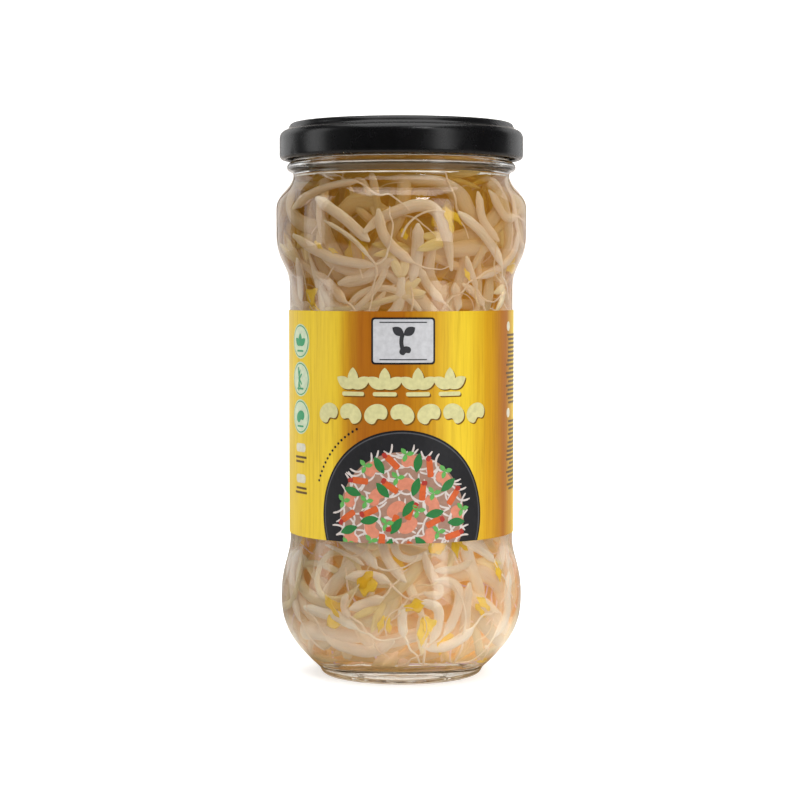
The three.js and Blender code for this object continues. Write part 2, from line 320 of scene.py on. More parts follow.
STEM_STEPS = 5
HEAD_DIVE = 1.6
TAIL_DIVE = 4.0
HEART_DEPTH = 12.0
AMBER_DEPTH = 6.5
INNER_FROM = 4.5
WALL_ROOM = 0.45
LOWEST_STEM = 6.7
LABEL_MIDDLE = 70.0
# Painted shade and light by height: stems high in the jar are coloured as if deeper in, stems near the floor
# as if nearer the glass.
TOP_PAINTED_SHADE = 0.32
FLOOR_PAINTED_LIGHT = 0.35
FLOOR_PAINTED_LIGHT_BELOW = 18.0
SETTLE_PASSES = 90
OUTER_SIDES, INNER_SIDES, ROOT_SIDES = 12, 8, 6
SQUASH = 0.3
LAID_SHARE, LAID_GIVE = 0.85, 0.25
GOLDEN_ANGLE = math.pi * (3 - math.sqrt(5))
PLASTIC_STEP = 0.7548777
BUNCHES = [
    {"node": "sprouts_lower", "seed": 17, "low": 10.4, "high": 42.8, "foot": 6.6,
     "count": 22, "loose": 135, "curl": 2.0},
    {"node": "sprouts_middle", "seed": 23, "low": 43.2, "high": 97.2, "foot": 43.2,
     "count": 4, "loose": 20, "curl": 1.0},
    {"node": "sprouts_upper", "seed": 37, "low": 97.6, "high": 137.6, "foot": 95.0,
     "count": 24, "loose": 145, "curl": 1.2},
]
# The stems laid at the front: half their thickness, then where they lie, in mm right of the middle
# and above the floor.
LAID_STEMS = [
    (1.3, [(-27.5, 128.2), (-21.9, 131.2), (-14.9, 133.4), (-11.2, 134.0)]),
    (1.5, [(-21.5, 130.0), (-15.9, 126.4), (-11.7, 122.6), (-8.2, 119.3)]),
    (0.6, [(-19.6, 124.5), (-14.9, 121.7), (-10.8, 118.4), (-8.0, 115.1)]),
    (1.4, [(-27.5, 121.0), (-21.9, 117.2), (-16.3, 114.9), (-11.2, 113.9), (-7.0, 113.2)]),
    (1.35, [(-5.9, 127.4), (-5.4, 122.6), (-3.1, 118.8), (-0.3, 116.3), (2.8, 114.0)]),
    (1.6, [(-9.7, 121.1), (-4.5, 124.9), (1.9, 127.9), (6.1, 128.4), (9.4, 126.6), (11.4, 120.7),
           (12.8, 112.0)]),
    (1.6, [(4.2, 123.2), (4.2, 118.4), (3.8, 114.0), (2.4, 108.6)]),
    (1.4, [(14.7, 126.5), (18.2, 123.7), (21.7, 120.2), (24.0, 117.0), (25.8, 113.6)]),
    (1.3, [(19.6, 131.0), (20.0, 126.6), (21.4, 122.6), (24.8, 119.6)]),
    (1.3, [(22.6, 131.4), (25.1, 127.4), (26.6, 124.9), (29.2, 126.0)]),
    (1.5, [(29.5, 121.4), (28.2, 116.5), (24.4, 112.7), (19.7, 109.8)]),
    (1.0, [(16.6, 115.4), (18.0, 111.0), (19.3, 106.2)]),
    (1.2, [(4.9, 112.2), (5.9, 109.0), (7.7, 106.0), (10.6, 103.2)]),
    (1.3, [(13.6, 108.0), (14.0, 104.4), (14.2, 100.6)]),
    (1.2, [(15.9, 107.9), (19.3, 104.8), (21.0, 102.0)]),
    (1.8, [(-16.0, 107.6), (-9.6, 109.4), (-5.6, 112.6), (-2.0, 114.6)]),
    (1.7, [(-26.5, 115.2), (-25.1, 109.0), (-25.4, 103.4)]),
    (1.4, [(-22.0, 111.4), (-17.4, 107.8), (-14.2, 103.0)]),
    (1.5, [(-16.0, 39.4), (-10.3, 36.0), (-6.1, 32.2)]),
    (0.6, [(-19.5, 37.8), (-14.0, 36.0), (-9.6, 33.0)]),
    (1.35, [(-4.8, 40.6), (-4.1, 35.7), (-2.3, 32.2), (0.7, 28.6)]),
    (1.7, [(-26.5, 34.5), (-28.2, 28.7), (-27.2, 22.7), (-26.0, 16.7)]),
    (1.5, [(-25.0, 20.0), (-19.5, 19.9), (-15.5, 18.9), (-11.6, 16.7)]),
    (1.2, [(-14.0, 25.0), (-14.9, 22.0), (-13.4, 19.4)]),
    (1.5, [(-14.0, 29.6), (-8.6, 30.4), (-3.2, 28.8)]),
    (1.4, [(-13.0, 21.6), (-8.8, 23.2), (-4.6, 24.8)]),
    (1.3, [(0.5, 23.0), (0.1, 19.0), (0.7, 14.8)]),
    (1.4, [(5.0, 23.6), (8.2, 23.0), (9.9, 20.8), (8.9, 16.5), (7.5, 13.2)]),
    (1.4, [(8.6, 28.6), (13.2, 28.0), (15.1, 25.2), (14.6, 21.5), (12.7, 17.7), (11.0, 14.9)]),
    (1.6, [(17.5, 27.4), (16.1, 20.8), (16.9, 16.5), (15.2, 11.8)]),
    (1.1, [(9.0, 31.6), (14.6, 31.2), (18.4, 33.6)]),
    (1.3, [(5.7, 36.4), (7.2, 30.8), (10.1, 27.8), (9.3, 24.9), (6.0, 26.0)]),
    (1.6, [(26.6, 41.4), (28.0, 35.3), (28.6, 29.6)]),
    (1.8, [(28.9, 28.2), (26.6, 22.7), (27.0, 17.7), (24.0, 13.2)]),
    (1.4, [(5.8, 12.2), (10.8, 11.6), (15.1, 13.5), (18.6, 16.6)]),
    (1.7, [(-1.6, 13.8), (-9.1, 11.4), (-14.0, 12.0), (-20.0, 14.4)]),
    (1.3, [(16.2, 39.4), (20.9, 35.5), (24.0, 32.4)]),
]
# First leaves laid at the front: foot and tip in the same measure, and half the width.
LAID_LEAVES = [
    (11.2, 128.2, 13.1, 121.0, 1.2), (11.8, 127.4, 15.6, 123.2, 1.0), (0.2, 122.4, 1.4, 119.4, 0.9),
    (-22.2, 119.4, -20.0, 117.4, 0.8), (-18.6, 117.6, -16.0, 116.4, 0.7), (16.0, 112.6, 17.6, 108.4, 0.8),
    (13.0, 41.3, 14.6, 34.4, 1.2), (13.8, 39.6, 17.2, 36.4, 0.9), (24.0, 32.4, 25.4, 26.6, 1.5),
    (6.4, 23.6, 0.2, 22.0, 1.9), (-19.6, 24.6, -15.8, 19.0, 1.2), (19.2, 24.2, 22.8, 20.0, 1.3),
    (19.0, 22.4, 21.6, 18.4, 1.0), (-4.4, 20.4, -6.0, 15.6, 0.9), (-3.6, 20.2, -3.0, 15.6, 1.0),
]
WALL_HEIGHTS = np.array([z for _, z in WALL_LINE])
WALL_RADII = np.array([r for r, _ in WALL_LINE])


def seeded(seed):
    """Repeatable random numbers from 0 to 1."""
    state = seed

    def draw():
        nonlocal state
        state = state * 48271 % 2147483647
        return state / 2147483647

    return draw


def wall_reach(heights, thickness):
    """How far out the middle of a round stem can lie at each height, with its side inside the brine."""
    reach = [np.interp(heights + thickness * math.sin(tilt), WALL_HEIGHTS, WALL_RADII)
             - thickness * math.cos(tilt) for tilt in np.radians([-60, -30, 0, 30, 60])]
    return np.min(reach, axis=0) - WALL_ROOM


def drawn_stem(draw, number, low, high):
    """A stem on the wall, on the same line as the solids' stems: from the crook down to the thin tail."""
    length = 34 + 16 * draw()
    thickness = 1.5 + 0.45 * draw()
    layer = 1.1 * draw()
    hook = 1 + 2.2 * draw()
    floor, ceiling = low + thickness + 0.4, high - thickness - 0.4
    angle = number * GOLDEN_ANGLE
    height = floor + (ceiling - floor) * (number * PLASTIC_STEP % 1)
    heading = math.tau * draw()
    bend = 0.11 * (draw() - 0.5)
    sway = 0.012 * (draw() - 0.5)
    pace = length / STEM_STEPS
    points, radii = [], []
    for i in range(STEM_STEPS + 1):
        share = i / STEM_STEPS
        dive = (HEAD_DIVE if share < 0.5 else TAIL_DIVE) * abs(2 * share - 1) ** hook
        radius = float(wall_reach(height, thickness)) - max(layer, dive)
        points.append((radius * math.cos(angle), radius * math.sin(angle), height))
        radii.append(thickness * min(1.0, 0.66 + 2 * share, 0.22 + 4.5 * (1 - share)))
        angle += pace * math.cos(heading) / radius
        height += pace * math.sin(heading)
        if height < floor or height > ceiling:
            heading, bend = -heading, -bend
            height = min(max(height, floor), ceiling)
        heading += bend * pace
        bend += sway * pace
    return np.array(points), np.array(radii)


def loose_stem(draw, low, high, curl):
    """A stem dropped anywhere in the bunch: a crook under the seed leaves, a long bow and a thin tail."""
    steps = 9 + int(10 * draw())
    pace = 3.2
    thickness = 0.8 + 1.15 * draw() ** 1.3
    depth = HEART_DEPTH * draw() ** 1.25
    roll = 5.0 * (draw() - 0.5)
    angle = math.tau * draw()
    floor, ceiling = low + thickness, high - thickness
    height = floor + (ceiling - floor) * draw()
    heading = math.tau * draw()
    bow = 0.15 * curl * (draw() - 0.5)
    crook = 0.62 * (draw() - 0.5)
    points, radii = [], []
    for i in range(steps + 1):
        share = i / steps
        sunk = max(0.0, depth + roll * (share - 0.5))
        radius = float(wall_reach(height, thickness)) - sunk
        points.append((radius * math.cos(angle), radius * math.sin(angle), height))
        radii.append(thickness * min(0.94, 0.6 + 3 * share, 0.2 + 5 * (1 - share)))
        angle += pace * math.cos(heading) / radius
        height += pace * math.sin(heading)
        if height < floor or height > ceiling:
            heading, bow = -heading, -bow
            height = min(max(height, floor), ceiling)
        heading += bow * pace + (crook if share < 0.3 else 0.0)
    return np.array(points), np.array(radii)


def at_front(across, height, thickness):
    """The place against the glass at the front, in mm right of the middle and above the floor."""
    reach = float(wall_reach(height, thickness))
    across = max(-0.97 * reach, min(0.97 * reach, across))
    return np.array([across, -math.sqrt(reach * reach - across * across), height])


def laid_stem(thickness, spots):
    """A stem laid against the glass at given places, pointed at both ends."""
    path, _ = smoothed(np.array([at_front(u, v, thickness) for u, v in spots]), np.ones(len(spots)), 3)
    shares = np.linspace(0, 1, len(path))
    radii = thickness * np.minimum(1, np.minimum(0.4 + 5 * shares, 0.3 + 5 * (1 - shares)))
    return np.array([at_front(x, z, r) for (x, _, z), r in zip(path, radii)]), radii


def smoothed(points, radii, parts):
    """A Catmull-Rom curve through the points, with the radii carried along it."""
    padded = np.vstack([2 * points[0] - points[1], points, 2 * points[-1] - points[-2]])
    path, widths = [], []
    for i in range(len(points) - 1):
        a, b, c, d = padded[i:i + 4]
        for k in range(parts + (i == len(points) - 2)):
            t = k / parts
            path.append(0.5 * (2 * b + (c - a) * t + (2 * a - 5 * b + 4 * c - d) * t * t
                               + (3 * b - a - 3 * c + d) * t**3))
            widths.append(radii[i] + (radii[i + 1] - radii[i]) * t)
    return np.array(path), np.array(widths)


def settle(stems, low, high, passes):
    """Push the stems apart where they run through each other, while they keep their length, bow and place."""
    points = np.vstack([stem["points"] for stem in stems])
    radii = np.concatenate([stem["radii"] for stem in stems])
    sizes = [len(stem["radii"]) for stem in stems]
    owner = np.repeat(np.arange(len(stems)), sizes)
    give = np.repeat([stem["give"] for stem in stems], sizes)[:, None]
    starts = np.cumsum([0] + sizes[:-1])
    links = np.array([(start + i, start + i + reach) for start, size in zip(starts, sizes)
                      for reach in (1, 2) for i in range(size - reach)])
    rest = np.linalg.norm(points[links[:, 1]] - points[links[:, 0]], axis=1)
    for _ in range(passes):
        order = np.argsort(points[:, 2])
        p, r, o = points[order], radii[order], owner[order]
        shift = np.zeros_like(p)
        for k in range(1, len(p)):
            if (p[k:, 2] - p[:-k, 2]).min() > 2 * r.max():
                break
            gap = p[k:] - p[:-k]
            apart = np.sqrt((gap * gap).sum(axis=1)) + 1e-6
            over = np.where(o[k:] != o[:-k], (r[k:] + r[:-k]) * 0.94 - apart, 0.0)
            push = gap * (np.maximum(over, 0.0) / apart)[:, None] * 0.36
            shift[k:] += push
            shift[:-k] -= push
        points[order] += shift * give[order]
        for _ in range(2):
            gap = points[links[:, 1]] - points[links[:, 0]]
            stretch = np.linalg.norm(gap, axis=1) + 1e-6
            pull = gap * (0.3 * (stretch - rest) / stretch)[:, None]
            np.add.at(points, links[:, 0], pull * give[links[:, 0]])
            np.add.at(points, links[:, 1], -pull * give[links[:, 1]])
        points[:, 2] = np.clip(points[:, 2], low + radii, high - radii)
        reach = np.hypot(points[:, 0], points[:, 1])
        points[:, :2] *= np.minimum(1, wall_reach(points[:, 2], radii) / np.maximum(reach, 1e-6))[:, None]
    for stem, start, size in zip(stems, starts, sizes):
        line = points[start:start + size].copy()
        for _ in range(3):
            line[1:-1] = 0.5 * line[1:-1] + 0.25 * (line[:-2] + line[2:])
        stem["points"] = line


def sunk_by(stem):
    """How deep a stem's middle lies behind the wall."""
    points, radii = stem["points"], stem["radii"]
    return float(np.mean(wall_reach(points[:, 2], radii) - np.hypot(points[:, 0], points[:, 1])))


def tube_tree():
    """A node tree that skins lines with round tubes. Each point of a line brings its own thickness."""
    tree = bpy.data.node_groups.new("tubes_on_lines", "GeometryNodeTree")
    for name, way, kind in (("Geometry", "INPUT", "Geometry"), ("Sides", "INPUT", "Int"),
                            ("Material", "INPUT", "Material"), ("Geometry", "OUTPUT", "Geometry")):
        tree.interface.new_socket(name, in_out=way, socket_type="NodeSocket" + kind)
    add = node_maker(tree)
    given = add("NodeGroupInput").outputs
    line = add("GeometryNodeMeshToCurve", {"Mesh": given["Geometry"]}).outputs["Curve"]
    thickness = add("GeometryNodeInputNamedAttribute", {"Name": "thickness"}, data_type="FLOAT")
    circle = add("GeometryNodeCurvePrimitiveCircle", {"Resolution": given["Sides"], "Radius": 1.0})
    place = add("GeometryNodeInputPosition")
    around = add("GeometryNodeStoreNamedAttribute",
                 {"Geometry": circle.outputs["Curve"], "Name": "around", "Value": place.outputs["Position"]},
                 data_type="FLOAT_VECTOR")
    skin = add("GeometryNodeCurveToMesh",
               {"Curve": line, "Profile Curve": around.outputs["Geometry"],
                "Scale": thickness.outputs["Attribute"], "Fill Caps": True})
    smooth = add("GeometryNodeSetShadeSmooth", {"Geometry": skin.outputs["Mesh"]})
    whole = add("GeometryNodeRealizeInstances", {"Geometry": smooth.outputs["Geometry"]})
    finish = add("GeometryNodeSetMaterial",
                 {"Geometry": whole.outputs["Geometry"], "Material": given["Material"]})
    add("NodeGroupOutput", {"Geometry": finish.outputs["Geometry"]})
    return tree


def grown(name, source, tree, settings):
    """The plain mesh that a node tree makes from a mesh, with the tree's inputs set by name."""
    seedling = stood(name, source)
    modifier = seedling.modifiers.new("grow", "NODES")
    modifier.node_group = tree
    for socket in tree.interface.items_tree:
        if socket.in_out == "INPUT" and socket.name in settings:
            modifier[socket.identifier] = settings[socket.name]
    ready = bpy.context.evaluated_depsgraph_get()
    mesh = bpy.data.meshes.new_from_object(seedling.evaluated_get(ready), depsgraph=ready)
    bpy.data.objects.remove(seedling)
    return stood(name, mesh)


def pressed(mesh, squash=0.0):
    """Make a mesh's tubes flatter towards the wall, and flat where they touch it. Note each point's depth
    behind the wall, with painted shade added high in the jar and painted light taken off near the floor.
    """
    flat = np.empty(len(mesh.vertices) * 3)
    mesh.vertices.foreach_get("co", flat)
    points = flat.reshape(-1, 3) / MM
    if squash:
        mesh.attributes["middle"].data.foreach_get("vector", flat)
        middle = flat.reshape(-1, 3) / MM
        outward = middle * (1, 1, 0)
        outward /= np.linalg.norm(outward, axis=1)[:, None] + 1e-6
        offset = points - middle
        across = (offset * outward).sum(axis=1)[:, None] * outward
        points = middle + (offset - across) * (1 + 0.5 * squash) + across * (1 - squash)
    points[:, 2] = np.clip(points[:, 2], LOWEST_STEM, BRINE_LEVEL - 0.4)
    reach = np.hypot(points[:, 0], points[:, 1])
    room = np.interp(points[:, 2], WALL_HEIGHTS, WALL_RADII) - WALL_ROOM
    points[:, :2] *= np.minimum(1, room / np.maximum(reach, 1e-6))[:, None]
    mesh.vertices.foreach_set("co", (points * MM).ravel())
    depth = mesh.attributes.new("depth", "FLOAT", "POINT")
    # Painted shade high in the jar and painted light near the floor, added to the depth that sets the amber.
    painted_height_shade = TOP_PAINTED_SHADE * np.clip((points[:, 2] - LABEL_MIDDLE) / 50, 0, 1)
    painted_height_shade -= FLOOR_PAINTED_LIGHT * np.clip((FLOOR_PAINTED_LIGHT_BELOW - points[:, 2]) / 8, 0, 1)
    depth.data.foreach_set("value", np.clip((room - reach) / AMBER_DEPTH + painted_height_shade, 0, 1).astype(np.float32))
    mesh.update()


TUBES = tube_tree()


def skinned(name, stems, sides, material):
    """Stems as round-ended tubes in one mesh."""
    points, edges, thickness, tone, along = [], [], [], [], []
    for stem in stems:
        path, widths = smoothed(stem["points"], stem["radii"], 3)
        first, last = path[0] - path[1], path[-1] - path[-2]
        first, last = first / np.linalg.norm(first), last / np.linalg.norm(last)
        steps = ((1.0, 0.06), (0.86, 0.5), (0.5, 0.86))
        path = np.vstack([*(path[0] + first * widths[0] * out for out, _ in steps), path,
                          *(path[-1] + last * widths[-1] * out for out, _ in steps[::-1])])
        widths = np.concatenate([[widths[0] * w for _, w in steps], widths,
                                 [widths[-1] * w for _, w in steps[::-1]]])
        edges += [(len(points) + i, len(points) + i + 1) for i in range(len(path) - 1)]
        points += path.tolist()
        thickness += widths.tolist()
        tone += [stem["tone"]] * len(path)
        along += np.concatenate([[0], np.cumsum(np.linalg.norm(np.diff(path, axis=0), axis=1))]).tolist()
    mesh = bpy.data.meshes.new(name)
    mesh.from_pydata((np.array(points) * MM).tolist(), edges, [])
    for key, values in (("thickness", np.array(thickness) * MM), ("tone", tone), ("along", along)):
        mesh.attributes.new(key, "FLOAT", "POINT").data.foreach_set("value", np.array(values, np.float32))
    middles = mesh.attributes.new("middle", "FLOAT_VECTOR", "POINT")
    middles.data.foreach_set("vector", (np.array(points) * MM).ravel())
    made = grown(name, mesh, TUBES, {"Sides": sides, "Material": material})
    pressed(made.data, SQUASH)
    return made


def plant_material(name, pale, rich, deep, roughness, soft, painted_glow):
    """Wet plant tissue: pale outside, richer by stem, and amber deep in the brine, partly the brine's tint
    and partly painted shade, with long fibres. The glow is painted light, an emission in place of light
    scattered by cloudy brine, painted stronger near the floor and on the right. The deep colour is painted
    lighter and yellower near the floor and darker at the top."""
    material, add, place = new_material(name)
    tone, depth, along = (add("Attribute", attribute_name=key).outputs["Fac"]
                          for key in ("tone", "depth", "along"))
    around = add("Attribute", attribute_name="around").outputs["Vector"]
    run = add("CombineXYZ", {"X": counted(add, "MULTIPLY", tone, 40.0),
                             "Z": counted(add, "MULTIPLY", along, 0.05)}).outputs["Vector"]
    spot = add("VectorMath", {0: around, 1: run}, operation="ADD").outputs["Vector"]
    fibres = cloudy(add, spot, 3.2, 3.0, 0.65)
    blend = counted(add, "MULTIPLY_ADD", cloudy(add, place, 1 / (7 * MM), 3.0), 0.8, tone)
    lined = counted(add, "MULTIPLY_ADD", fibres, 1.3, blend)
    surface_tone = ramp(add, ranged(add, lined, (0.70, 1.85)), [(0.0, pale), (1.0, rich)])
    kind = ramp(add, tone, [(0.0, (1.0, 1.0, 1.0)), (0.3, (1.0, 0.92, 0.87)), (0.5, (0.98, 0.98, 0.98)),
                            (0.72, (0.96, 0.95, 0.78)), (1.0, (0.92, 0.90, 0.88))])
    own = mixed(add, 1.0, surface_tone, kind, "MULTIPLY")
    apart = add("SeparateXYZ", {"Vector": place}).outputs
    height = ranged(add, apart["Z"], (8 * MM, 132 * MM))
    # Painted light and shade: the deep colour is lighter and yellower near the floor and darker at the top.
    amber = ramp(add, height, [(0.0, tuple(min(1, c * k) for c, k in zip(deep, (1.4, 1.7, 5.5)))),
                               (0.75, deep), (1.0, tuple(c * 0.8 for c in deep))])
    # Painted light: the glow is half as strong again near the floor.
    lit = ramp(add, height, [(share, (painted_glow * k, painted_glow * k, painted_glow * k))
                             for share, k in ((0.0, 1.5), (0.09, 1.0), (1.0, 1.02))])
    # Painted light: the glow is weaker on the left and stronger on the right.
    side = ranged(add, apart["X"], (-26 * MM, 26 * MM), (0.45, 1.35))
    # Deeper stems turn amber, partly the brine's tint and partly painted shade between the stems.
    colour = mixed(add, depth, own, amber)
    surfaced(add, {"Base Color": colour, "Emission Color": colour,
                   "Emission Strength": counted(add, "MULTIPLY", lit, side),
                   "Normal": bumped(add, fibres, 0.9, 0.22), "Roughness": roughness, "IOR": 1.36,
                   "Subsurface Weight": soft, "Subsurface Radius": (1.0, 0.76, 0.56),
                   "Subsurface Scale": 4.0 * MM, "Specular IOR Level": 0.25})
    return material


stem_flesh = plant_material("stem_flesh", (0.78, 0.705, 0.635), (0.62, 0.52, 0.41), (0.50, 0.27, 0.035),
                            0.42, 0.9, 0.29)
crowns, tails, inner = [], [], []
for bunch in BUNCHES:
    draw = seeded(bunch["seed"])
    stems = []
    for number in range(bunch["count"]):
        points, radii = drawn_stem(draw, number, bunch["low"], bunch["high"])
        points, radii = smoothed(points, radii, 2)
        # The solids draw once more here, for the bean head.
        draw()
        stems.append({"points": points, "radii": radii, "tone": number * 0.618 % 1, "give": 0.6})
    for thickness, spots in LAID_STEMS:
        if bunch["low"] < np.mean([height for _, height in spots]) <= bunch["high"]:
            points, radii = laid_stem(LAID_SHARE * thickness, spots)
            stems.append({"points": points, "radii": radii, "tone": 0.4 * draw(), "give": LAID_GIVE})
    for number in range(bunch["loose"]):
        points, radii = loose_stem(draw, bunch["foot"], bunch["high"], bunch["curl"])
        stems.append({"points": points, "radii": radii, "tone": draw(), "give": 1.0})
    settle(stems, bunch["foot"], bunch["high"], SETTLE_PASSES)
    outer = [stem for stem in stems if sunk_by(stem) < INNER_FROM]
    inner += [stem for stem in stems if sunk_by(stem) >= INNER_FROM]
    piece = skinned(bunch["node"].replace("sprouts", "stems"), outer, OUTER_SIDES, stem_flesh)
    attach(piece, "jar")
    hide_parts(bunch["node"])
    crowns += [(stem["points"][0], stem["points"][0] - stem["points"][1])
               for stem in stems if stem["give"] > LAID_GIVE]
    tails += [(stem["points"][-1], stem["points"][-1] - stem["points"][-2], stem["tone"]) for stem in stems]
behind = skinned("inner_stems", inner, INNER_SIDES, stem_flesh)
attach(behind, "jar")


def heart_outline():
    """The mass of the sprouts behind the stems."""
    side = [(max(6.0, float(wall_reach(z, 0.0)) - HEART_DEPTH), z) for z in np.linspace(8.5, 137.0, 64)]
    return [(0, 8.0), *side, (0, 137.3)]


def heart_relief(angles, radius, height):
    """Lumps of tangled stems on the heart."""
    spots = [Vector((radius * math.cos(a), radius * math.sin(a), height)) for a in angles]
    return np.array([1.8 * noise.noise(spot * 0.16) + 1.0 * noise.noise(spot * 0.45) for spot in spots])


heart = turned("sprout_heart", heart_outline(), 120, relief=heart_relief)
for key, value in (("tone", 0.6), ("depth", 0.9), ("along", 0.5)):
    heart.data.attributes.new(key, "FLOAT", "POINT").data.foreach_set(
        "value", np.full(len(heart.data.vertices), value, np.float32))
# The heart's dark amber is partly the brine's tint and partly painted shade for the gaps between the stems,
# and its glow is painted light.
heart.data.materials.append(plant_material("deep_sprouts", (0.50, 0.29, 0.06), (0.40, 0.21, 0.03),
                                           (0.50, 0.27, 0.04), 0.5, 0.0, 0.36))
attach(heart, "jar")

# The seed leaves, first leaves and roots. Some sprouts still hold the two halves of the bean at the crook,
# some show their first yellow leaves, and many tails run out in a root as thin as a thread.


class Gathered:
    """Small closed shapes gathered into one mesh, with the stems' notes: tone, along and around."""

    def __init__(self):
        self.points, self.faces, self.tones, self.alongs, self.arounds = [], [], [], [], []

    def blade(self, foot, forward, up, length, width, rise, sink, fold, bend, tone,
              rings=9, sides=12, ragged=0.0):
        """A leaf or half bean: it tapers to both ends, with its own height above and below, and a fold."""
        forward = forward / np.linalg.norm(forward)
        side = np.cross(forward, up)
        side /= np.linalg.norm(side)
        up = np.cross(side, forward)
        start = len(self.points)
        for i in range(rings + 1):
            t = i / rings
            centre = foot + forward * length * t + up * bend * math.sin(math.pi * t)
            if i in (0, rings):
                self.points.append(centre)
                self.alongs.append(t * length)
                self.arounds.append((0, 0, 0))
                continue
            swell = math.sin(math.pi * t**0.85) ** 0.7 * (1 + ragged * math.sin(11 * t + 20 * tone))
            for j in range(sides):
                a = math.tau * j / sides
                across = math.cos(a) * width * swell
                lift = math.sin(a) * (rise if j < sides / 2 else sink) * swell
                self.points.append(centre + side * across + up * (lift + fold * abs(across)))
                self.alongs.append(t * length)
                self.arounds.append((math.cos(a), math.sin(a), 0))
        last = len(self.points) - 1
        first_ring = start + 1
        for j in range(sides):
            k = (j + 1) % sides
            self.faces.append((start, first_ring + j, first_ring + k))
            for i in range(rings - 2):
                low = first_ring + i * sides
                self.faces.append((low + j, low + sides + j, low + sides + k, low + k))
            top = first_ring + (rings - 2) * sides
            self.faces.append((top + j, last, top + k))
        self.tones += [tone] * (len(self.points) - start)

    def piece(self, name, material):
        """The gathered shapes as one object that belongs to the jar."""
        mesh = bpy.data.meshes.new(name)
        mesh.from_pydata((np.array(self.points) * MM).tolist(), [], self.faces)
        mesh.polygons.foreach_set("use_smooth", [True] * len(mesh.polygons))
        for note, kind, way, values in (("tone", "FLOAT", "value", self.tones),
                                        ("along", "FLOAT", "value", self.alongs),
                                        ("around", "FLOAT_VECTOR", "vector", np.ravel(self.arounds))):
            mesh.attributes.new(note, kind, "POINT").data.foreach_set(way, values)
        pressed(mesh)
        mesh.materials.append(material)
        made = stood(name, mesh)
        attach(made, "jar")


def outward_of(spot):
    """The way out to the glass at a place."""
    out = spot * (1, 1, 0)
    return out / (np.linalg.norm(out) + 1e-6)


def turned_about(axis, way, degrees):
    """A direction turned about an axis."""
    return np.array(Matrix.Rotation(math.radians(degrees), 3, Vector(axis)) @ Vector(way))


draw = seeded(53)
WISPS = 44
halves, leaves_yellow, roots = Gathered(), Gathered(), []
for foot, forward in crowns:
    out = outward_of(foot)
    forward = forward / np.linalg.norm(forward)
    tone = draw()
    if draw() < 0.2:
        for way in (-1, 1):
            splay = turned_about(out, forward, way * (6 + 16 * draw()))
            halves.blade(foot - forward * 0.8, splay, out,
                         7.5 + 4 * draw(), 1.1 + 0.5 * draw(), 0.9, 0.4, 0.0,
                         1.2 * draw(), tone)
    if draw() < 0.1:
        for way in (-1, 1):
            splay = turned_about(out, forward, way * (8 + 30 * draw()))
            leaves_yellow.blade(foot + out * 0.8, splay, out, 5 + 4 * draw(), 1.3 + 1.2 * draw(), 0.13, 0.13,
                                0.5 * draw(), 1.5 * draw(), tone, rings=9, sides=10, ragged=0.3)
for foot_across, foot_height, tip_across, tip_height, width in LAID_LEAVES:
    foot, tip = at_front(foot_across, foot_height, 0.5), at_front(tip_across, tip_height, 0.5)
    leaves_yellow.blade(foot, tip - foot, outward_of(foot),
                        float(np.linalg.norm(tip - foot)), 0.8 * width, 0.13, 0.13,
                        0.7 * draw() - 0.2, 0.8 * draw(), draw(), rings=14, sides=10, ragged=0.34)
for foot, forward, tone in tails:
    if draw() < 0.6:
        forward = forward / np.linalg.norm(forward)
        points = [foot - forward * 0.6]
        for i in range(5 + int(5 * draw())):
            forward = turned_about(outward_of(foot), forward, 60 * (draw() - 0.5))
            points.append(points[-1] + forward * 2.3)
        points = np.array(points)
        reach = np.hypot(points[:, 0], points[:, 1])
        points[:, 2] = np.clip(points[:, 2], LOWEST_STEM + 0.5, BRINE_LEVEL - 0.8)
        points[:, :2] *= np.minimum(1, wall_reach(points[:, 2], 0.3) / reach)[:, None]
        roots.append({"points": points, "radii": np.linspace(0.30, 0.13, len(points)), "tone": tone})
for number in range(WISPS):
    angle, height = number * GOLDEN_ANGLE, 9 + 34 * draw() if number % 2 else 98 + 38 * draw()
    heading, bow, thickness, points = math.tau * draw(), 1.1 * (draw() - 0.5), 0.16 + 0.2 * draw(), []
    for i in range(6 + int(7 * draw())):
        height = min(max(height, LOWEST_STEM + 0.5), BRINE_LEVEL - 0.8)
        reach = float(wall_reach(height, thickness))
        points.append((reach * math.cos(angle), reach * math.sin(angle), height))
        angle += 2.2 * math.cos(heading) / reach
        height += 2.2 * math.sin(heading)
        heading += bow
    roots.append({"points": np.array(points), "tone": draw(),
                  "radii": np.linspace(thickness, 0.1, len(points))})
halves.piece("seed_leaves", plant_material(
    "seed_leaf", (0.82, 0.74, 0.56), (0.70, 0.55, 0.30), (0.54, 0.33, 0.08), 0.45, 0.7, 0.28))
leaves_yellow.piece("first_leaves", plant_material(
    "first_leaf", (0.84, 0.60, 0.07), (0.74, 0.45, 0.03), (0.62, 0.36, 0.03), 0.45, 0.5, 0.28))
threads = skinned("root_threads", roots, ROOT_SIDES, plant_material(
    "root_thread", (0.84, 0.74, 0.62), (0.72, 0.54, 0.38), (0.55, 0.33, 0.13), 0.45, 0.5, 0.28))
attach(threads, "jar")

# The label. One strip of coated paper, printed in amber, with painted sheen and shade in bands from yellow to
# brown round it.
# It goes once round the waist and its end is glued over its start at the back.

LABEL_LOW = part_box("paper_label")[0].z / MM
LABEL_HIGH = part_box("paper_label")[1].z / MM
PAPER = 0.15
LABEL_RADIUS = WAIST + 0.1 + PAPER
HALF_TURN = math.pi * LABEL_RADIUS
LAP = 10.8


def on_label(across, height, out):
    """A point of the unrolled label, in mm right of the front and above the floor, laid on the jar."""
    angle = across / LABEL_RADIUS - math.pi / 2
    reach = LABEL_RADIUS + out
    return (reach * math.cos(angle) * MM, reach * math.sin(angle) * MM, height * MM)


